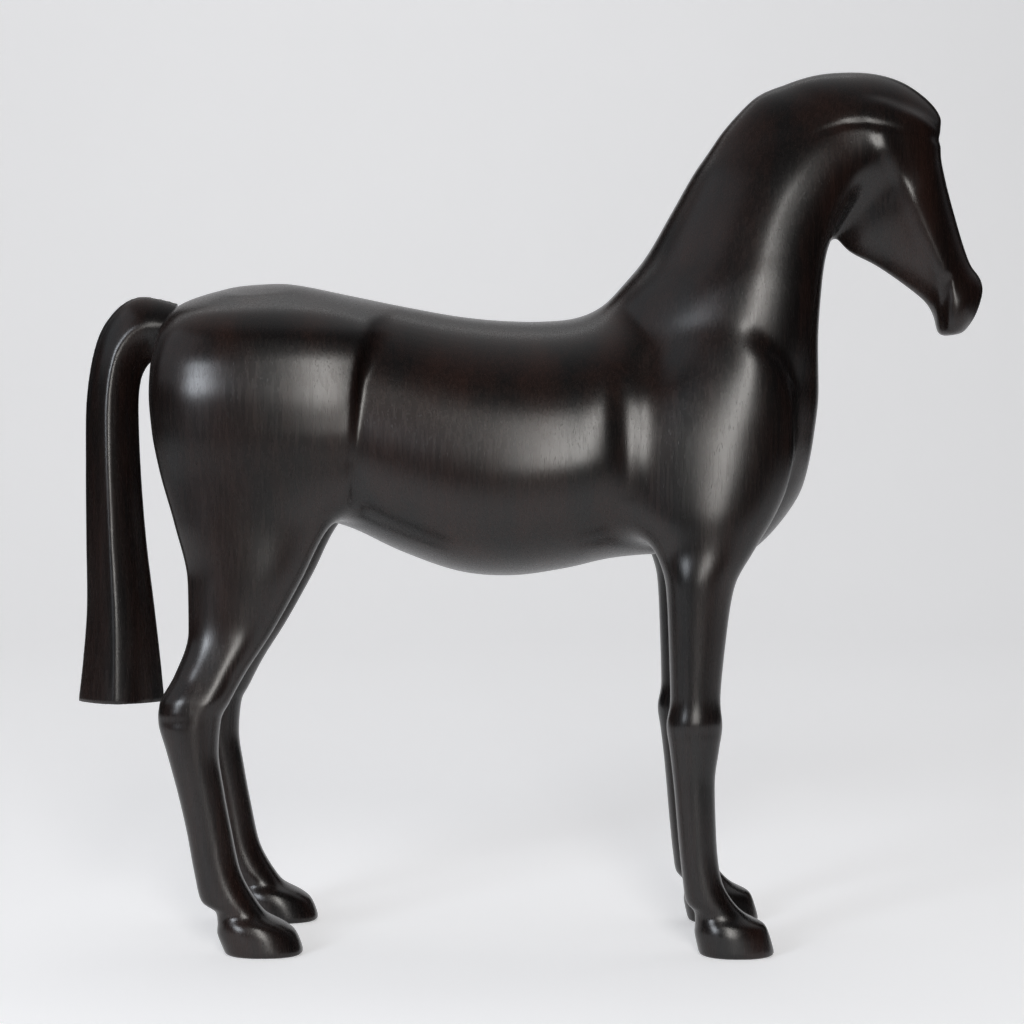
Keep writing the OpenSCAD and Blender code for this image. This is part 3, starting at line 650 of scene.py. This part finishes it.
carved = {}
front, rear = partAtJoint(blockMesh(body), girthJoint)
barrels, hind = partAtJoint(rear, flankJoint)
lower, upper = partAtJoint(front, neckJoint)
carved["head"], carved["neck"] = partAtJoint(upper, headJoint, isHead)
forehands, forelegs = partAtHeight(lower, foreJointHeight)
hindquarters, hindLegs = partAtHeight(hind, hindJointHeight)
for name, pair in (("barrel", barrels), ("forehand", forehands), ("hindquarter", hindquarters),
                   ("foreleg", forelegs), ("hind_leg", hindLegs)):
    carved["left_" + name], carved["right_" + name] = partSides(pair)
carved["tail"] = partAtJoint(blockMesh(hair), tailJoint, isTailRoot)[1]
print("parted:", {name: len(bm.faces) for name, bm in carved.items()})


# Values of the carving block at points of the frame, between its grid points
def fieldAt(block, points):
    p = points / (mm * carving["voxel"]) - block["corner"]
    i = np.clip(np.floor(p).astype(int), 0, np.array(block["field"].shape) - 2)
    f = p - i
    value = 0
    for corner in np.ndindex(2, 2, 2):
        weight = np.prod(np.where(corner, f, 1 - f), axis=1)
        value = value + weight * block["field"][tuple((i + corner).T)]
    return value


def surfaceNormals(block, points):
    step = carving["voxel"] * mm
    slope = np.stack([fieldAt(block, points + step * axis) - fieldAt(block, points - step * axis)
                      for axis in np.eye(3)], axis=1)
    return slope / np.maximum(np.linalg.norm(slope, axis=1, keepdims=True), 1e-9)


# Shades a piece with the normals of the whole carving, so that no joint shows as a line
def finishPiece(name, bm, block, material):
    mesh = bpy.data.meshes.new(name)
    bm.to_mesh(mesh)
    points = np.empty(len(mesh.vertices) * 3)
    mesh.vertices.foreach_get("co", points)
    soft = np.empty(len(mesh.polygons), bool)
    mesh.polygons.foreach_get("use_smooth", soft)
    sides = np.empty(len(mesh.polygons), int)
    mesh.polygons.foreach_get("loop_total", sides)
    corners = np.empty(len(mesh.loops), int)
    mesh.loops.foreach_get("vertex_index", corners)
    flat = np.empty(len(mesh.polygons) * 3)
    mesh.polygons.foreach_get("normal", flat)
    owner = np.repeat(np.arange(len(sides)), sides)
    normals = np.where(soft[owner][:, None], surfaceNormals(block, points.reshape(-1, 3))[corners],
                       flat.reshape(-1, 3)[owner])
    mesh.normals_split_custom_set(normals.tolist())
    mesh.materials.append(material)
    piece = bpy.data.objects.new(name, mesh)
    bpy.context.scene.collection.objects.link(piece)
    return piece


def nodeGroup(name, inputs, outputs):
    group = bpy.data.node_groups.new(name, "ShaderNodeTree")
    for label, kind, value in inputs:
        socket = group.interface.new_socket(label, in_out="INPUT", socket_type="NodeSocket" + kind)
        socket.default_value = value
    for label, kind in outputs:
        group.interface.new_socket(label, in_out="OUTPUT", socket_type="NodeSocket" + kind)
    return group, group.nodes.new("NodeGroupInput"), group.nodes.new("NodeGroupOutput")


def mathNode(tree, operation, a, b=None, c=None):
    node = tree.nodes.new("ShaderNodeMath")
    node.operation = operation
    for socket, value in zip(node.inputs, (a, b, c)):
        if isinstance(value, bpy.types.NodeSocket):
            tree.links.new(value, socket)
        elif value is not None:
            socket.default_value = value
    return node.outputs[0]


def stretched(tree, vector, scale):
    node = tree.nodes.new("ShaderNodeVectorMath")
    node.operation = "MULTIPLY"
    tree.links.new(vector, node.inputs[0])
    node.inputs[1].default_value = scale
    return node.outputs[0]


def noiseOf(tree, vector, scale, detail=3.0, roughness=0.55):
    node = tree.nodes.new("ShaderNodeTexNoise")
    tree.links.new(vector, node.inputs["Vector"])
    node.inputs["Scale"].default_value = scale
    node.inputs["Detail"].default_value = detail
    node.inputs["Roughness"].default_value = roughness
    return node.outputs["Fac"]


dash = {"run": 0.13, "sharpness": 5.0, "reach": 1.6, "rounding": 0.2}


# Open pores: short dashes along the grain
def poreGroup():
    group, inside, outside = nodeGroup(
        "openPores",
        [("Vector", "Vector", (0, 0, 0)), ("Fineness", "Float", 900.0), ("Share", "Float", 0.3)],
        [("Pores", "Float")])
    scaled = group.nodes.new("ShaderNodeVectorMath")
    scaled.operation = "SCALE"
    group.links.new(stretched(group, inside.outputs["Vector"], (1, 1, dash["run"])), scaled.inputs[0])
    group.links.new(inside.outputs["Fineness"], scaled.inputs["Scale"])
    cells = group.nodes.new("ShaderNodeTexVoronoi")
    cells.inputs["Scale"].default_value = 1
    group.links.new(scaled.outputs[0], cells.inputs["Vector"])
    depth = mathNode(group, "MULTIPLY_ADD", cells.outputs["Distance"], -dash["sharpness"], dash["reach"])
    depth = mathNode(group, "SMOOTH_MIN", depth, 1.0, dash["rounding"])
    keep = mathNode(group, "LESS_THAN", cells.outputs["Color"], inside.outputs["Share"])
    depth = mathNode(group, "MULTIPLY", mathNode(group, "MAXIMUM", depth, 0.0), keep)
    group.links.new(depth, outside.inputs["Pores"])
    return group


grainRun = {"Bands": 0.12, "Fibres": 0.06}


# Grain: slow bands of colour along the timber, with finer fibres over them
def grainGroup():
    group, inside, outside = nodeGroup(
        "timberGrain",
        [("Vector", "Vector", (0, 0, 0)), ("Bands", "Float", 60.0), ("Fibres", "Float", 700.0)],
        [("Bands", "Float"), ("Fibres", "Float")])
    for label, run in grainRun.items():
        scaled = group.nodes.new("ShaderNodeVectorMath")
        scaled.operation = "SCALE"
        group.links.new(stretched(group, inside.outputs["Vector"], (1, 1, run)), scaled.inputs[0])
        group.links.new(inside.outputs[label], scaled.inputs["Scale"])
        group.links.new(noiseOf(group, scaled.outputs[0], 1.0), outside.inputs[label])
    return group


pores = poreGroup()
grain = grainGroup()


def place(tree, group, vector, **values):
    node = tree.nodes.new("ShaderNodeGroup")
    node.node_tree = group
    tree.links.new(vector, node.inputs["Vector"])
    for label, value in values.items():
        node.inputs[label].default_value = value
    return node.outputs


def rampOf(tree, factor, stops):
    node = tree.nodes.new("ShaderNodeValToRGB")
    ramp = node.color_ramp
    stops = list(stops)
    while len(ramp.elements) < len(stops):
        ramp.elements.new(0.5)
    for element, (position, colour) in zip(ramp.elements, stops):
        element.position = position
        element.color = (*colour, 1)
    tree.links.new(factor, node.inputs["Fac"])
    return node.outputs["Color"]


def mixColour(tree, factor, a, b):
    node = tree.nodes.new("ShaderNodeMix")
    node.data_type = "RGBA"
    for socket, value in ((node.inputs[0], factor), (node.inputs[6], a), (node.inputs[7], b)):
        if isinstance(value, bpy.types.NodeSocket):
            tree.links.new(value, socket)
        else:
            socket.default_value = value if isinstance(value, (int, float)) else (*value, 1)
    return node.outputs[2]


def newMaterial(name):
    material = bpy.data.materials.new(name)
    material.use_nodes = True
    tree = material.node_tree
    vector = tree.nodes.new("ShaderNodeTexCoord").outputs["Object"]
    return material, tree, tree.nodes["Principled BSDF"], vector


def bumpOf(tree, height, strength, distance):
    node = tree.nodes.new("ShaderNodeBump")
    node.inputs["Strength"].default_value = strength
    node.inputs["Distance"].default_value = distance
    tree.links.new(height, node.inputs["Height"])
    return node.outputs["Normal"]


stain = {
    "deep": (0.0046, 0.0036, 0.0034), "warm": (0.0190, 0.0080, 0.0056), "pore": (0.0018, 0.0015, 0.0014),
    "toneStops": (0.40, 0.72), "bands": 38.0, "fibres": 620.0, "fibreShare": 0.25,
    "poreFineness": 1800.0, "poreShare": 0.35, "poreDark": 0.7,
    "roughness": 0.27, "fibreRough": 0.10, "poreRough": 0.06,
    "fibreRelief": 0.12, "bump": 0.12, "bumpDepth": 0.0001,
}


def stainedWood():
    material, tree, shader, vector = newMaterial("stainedWood")
    timber = place(tree, grain, vector, Bands=stain["bands"], Fibres=stain["fibres"])
    dashes = place(tree, pores, vector, Fineness=stain["poreFineness"], Share=stain["poreShare"])["Pores"]
    tone = mathNode(tree, "ADD", mathNode(tree, "MULTIPLY", timber["Bands"], 1 - stain["fibreShare"]),
                    mathNode(tree, "MULTIPLY", timber["Fibres"], stain["fibreShare"]))
    colour = rampOf(tree, tone, zip(stain["toneStops"], (stain["deep"], stain["warm"])))
    colour = mixColour(tree, mathNode(tree, "MULTIPLY", dashes, stain["poreDark"]), colour, stain["pore"])
    tree.links.new(colour, shader.inputs["Base Color"])
    rough = mathNode(tree, "MULTIPLY_ADD", timber["Fibres"], stain["fibreRough"],
                     stain["roughness"] - stain["fibreRough"] / 2)
    rough = mathNode(tree, "MULTIPLY_ADD", dashes, stain["poreRough"], rough)
    tree.links.new(rough, shader.inputs["Roughness"])
    fibres = mathNode(tree, "MULTIPLY", timber["Fibres"], stain["fibreRelief"])
    relief = mathNode(tree, "SUBTRACT", fibres, dashes)
    normal = bumpOf(tree, relief, stain["bump"], stain["bumpDepth"])
    tree.links.new(normal, shader.inputs["Normal"])
    return material


beech = {
    "pale": (0.62, 0.43, 0.26), "dark": (0.46, 0.29, 0.16), "toneStops": (0.3, 0.7),
    "bands": 160.0, "fibres": 1400.0, "poreFineness": 2000.0, "poreShare": 0.35, "poreDark": 0.5,
    "roughness": 0.6, "bandRough": 0.15, "bump": 0.2, "bumpDepth": 0.0001,
}


def bareDowel():
    material, tree, shader, vector = newMaterial("bareDowel")
    timber = place(tree, grain, vector, Bands=beech["bands"], Fibres=beech["fibres"])
    dashes = place(tree, pores, vector, Fineness=beech["poreFineness"], Share=beech["poreShare"])["Pores"]
    colour = rampOf(tree, timber["Fibres"], zip(beech["toneStops"], (beech["dark"], beech["pale"])))
    colour = mixColour(tree, mathNode(tree, "MULTIPLY", dashes, beech["poreDark"]), colour, beech["dark"])
    tree.links.new(colour, shader.inputs["Base Color"])
    rough = mathNode(tree, "MULTIPLY_ADD", timber["Bands"], beech["bandRough"], beech["roughness"])
    tree.links.new(rough, shader.inputs["Roughness"])
    normal = bumpOf(tree, timber["Fibres"], beech["bump"], beech["bumpDepth"])
    tree.links.new(normal, shader.inputs["Normal"])
    return material


darkWood = stainedWood()
dowelWood = bareDowel()
for name, bm in carved.items():
    words = name.split("_")
    piece = finishPiece("carved" + "".join(word.capitalize() for word in words), bm,
                        hair if name == "tail" else body, darkWood)
    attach(piece, "root")
    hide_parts(name)
    bm.free()
for name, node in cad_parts.items():
    if "dowel" in name:
        node.data.materials.clear()
        node.data.materials.append(dowelWood)
print("pieces finished:", len(carved))

studio = {
    "paper": (0.80, 0.80, 0.81), "shade": 0.985, "mottle": 6.0, "roughness": 0.75, "glow": 0.50,
    "floorFront": -1.2, "floorBack": 1.9, "curve": 1.0, "curveSteps": 12, "wallTop": 4.0, "half": 4.0,
    "sideFade": (1.7, 1.0), "frontFade": (-1.15, -0.22), "unlit": (0.02, 0.02, 0.02),
    "overBack": (0, 0.64, 0.77),
    "room": [(0.35, (0.012, 0.012, 0.013)), (0.6, (0.20, 0.20, 0.21)), (0.8, (0.5, 0.5, 0.51)),
             (1.0, (0.9, 0.9, 0.91))],
    "sky": (0.80, 0.81, 0.83),
}


def fadeOf(tree, value, empty, full):
    node = tree.nodes.new("ShaderNodeMapRange")
    node.interpolation_type = "SMOOTHSTEP"
    tree.links.new(value, node.inputs["Value"])
    node.inputs["From Min"].default_value = empty
    node.inputs["From Max"].default_value = full
    return node.outputs["Result"]


def sweep():
    profile = [(studio["floorFront"], 0.0), (studio["floorBack"], 0.0)]
    for k in range(1, studio["curveSteps"] + 1):
        a = math.radians(90 * k / studio["curveSteps"])
        profile.append((studio["floorBack"] + studio["curve"] * math.sin(a),
                        studio["curve"] * (1 - math.cos(a))))
    profile.append((studio["floorBack"] + studio["curve"], studio["wallTop"]))
    bm = bmesh.new()
    rows = [[bm.verts.new((x, y, z)) for x in (-studio["half"], studio["half"])] for y, z in profile]
    for a, b in zip(rows[:-1], rows[1:]):
        bm.faces.new((a[0], a[1], b[1], b[0])).smooth = True
    mesh = bpy.data.meshes.new("paperSweep")
    bm.to_mesh(mesh)
    material, tree, shader, vector = newMaterial("sweepPaper")
    shade = tuple(studio["shade"] * c for c in studio["paper"])
    tone = rampOf(tree, noiseOf(tree, vector, studio["mottle"]), [(0.3, shade), (0.7, studio["paper"])])
    shader.inputs["Roughness"].default_value = studio["roughness"]
    shader.inputs["Emission Color"].default_value = (*studio["paper"], 1)
    light = tree.nodes.new("ShaderNodeLightPath")
    seen = mathNode(tree, "MAXIMUM", light.outputs["Is Camera Ray"], light.outputs["Is Glossy Ray"])
    seen = mathNode(tree, "MAXIMUM", seen, light.outputs["Is Transmission Ray"])
    axes = tree.nodes.new("ShaderNodeSeparateXYZ")
    tree.links.new(vector, axes.inputs[0])
    across = fadeOf(tree, mathNode(tree, "ABSOLUTE", axes.outputs["X"]), *studio["sideFade"])
    ahead = fadeOf(tree, axes.outputs["Y"], *studio["frontFade"])
    near = mathNode(tree, "MULTIPLY", across, ahead)
    glow = mathNode(tree, "MULTIPLY", near, studio["glow"])
    tree.links.new(mathNode(tree, "MULTIPLY", seen, glow), shader.inputs["Emission Strength"])
    # Painted shade: away from the figure the paper is coloured dark as a dark room, which only the wood's
    # reflections show; the camera still sees it pale
    lit = mathNode(tree, "MAXIMUM", near, light.outputs["Is Camera Ray"])
    tree.links.new(mixColour(tree, lit, studio["unlit"], tone), shader.inputs["Base Color"])
    mesh.materials.append(material)
    paper = bpy.data.objects.new("paperSweep", mesh)
    bpy.context.scene.collection.objects.link(paper)


lamps = {
    "frontStrip": dict(place=(0.16, -2.0, 0.95), aim=(0.16, 0, 0.95), size=(0.34, 1.60), watts=24,
                       colour=(1, 0.975, 0.94)),
    "leftBox": dict(place=(-1.15, -1.63, 0.76), aim=(-0.1, 0, 0.30), size=(0.56, 0.72), watts=15,
                    colour=(0.88, 0.93, 1), shape="ELLIPSE"),
    "leftWall": dict(place=(-1.9, -0.7, 1.55), aim=(0, 0, 0.35), size=(1.8, 1.8), watts=6,
                     colour=(0.90, 0.94, 1)),
    "paperLight": dict(place=(-0.7, 1.0, 2.4), aim=(-0.5, 2.9, 1.2), size=(2.4, 0.6), watts=14,
                       colour=(1, 1, 1)),
}


def lightStudio():
    for name, lamp in lamps.items():
        data = bpy.data.lights.new(name, "AREA")
        data.shape = lamp.get("shape", "RECTANGLE")
        data.size, data.size_y = lamp["size"]
        data.energy = lamp["watts"]
        data.color = lamp["colour"]
        box = bpy.data.objects.new(name, data)
        box.location = lamp["place"]
        box.rotation_euler = (Vector(lamp["aim"]) - box.location).to_track_quat("-Z", "Y").to_euler()
        bpy.context.scene.collection.objects.link(box)
    world = bpy.data.worlds.new("studioRoom")
    world.use_nodes = True
    bpy.context.scene.world = world
    tree = world.node_tree
    light = tree.nodes.new("ShaderNodeLightPath")
    seen = mathNode(tree, "MAXIMUM", light.outputs["Is Camera Ray"], light.outputs["Is Transmission Ray"])
    # What the wood mirrors: a dark studio, paler over the back where the paper hangs
    direction = tree.nodes.new("ShaderNodeVectorMath")
    direction.operation = "DOT_PRODUCT"
    tree.links.new(tree.nodes.new("ShaderNodeTexCoord").outputs["Generated"], direction.inputs[0])
    direction.inputs[1].default_value = studio["overBack"]
    room = rampOf(tree, direction.outputs["Value"], studio["room"])
    tree.links.new(mixColour(tree, seen, room, studio["sky"]), tree.nodes["Background"].inputs["Color"])


camera = {"place": (0.0015, -1.400, 0.294), "down": 0.0335, "left": 0.0081, "lens": 85.04}


def placeCamera():
    data = bpy.data.cameras.new("photoCamera")
    data.lens = camera["lens"]
    data.sensor_width = 36
    eye = bpy.data.objects.new("photoCamera", data)
    eye.location = camera["place"]
    eye.rotation_euler = (math.pi / 2 - camera["down"], 0, camera["left"])
    bpy.context.scene.collection.objects.link(eye)
    bpy.context.scene.camera = eye


sweep()
lightStudio()
placeCamera()
bpy.context.scene.view_settings.view_transform = "Standard"
print("studio set")
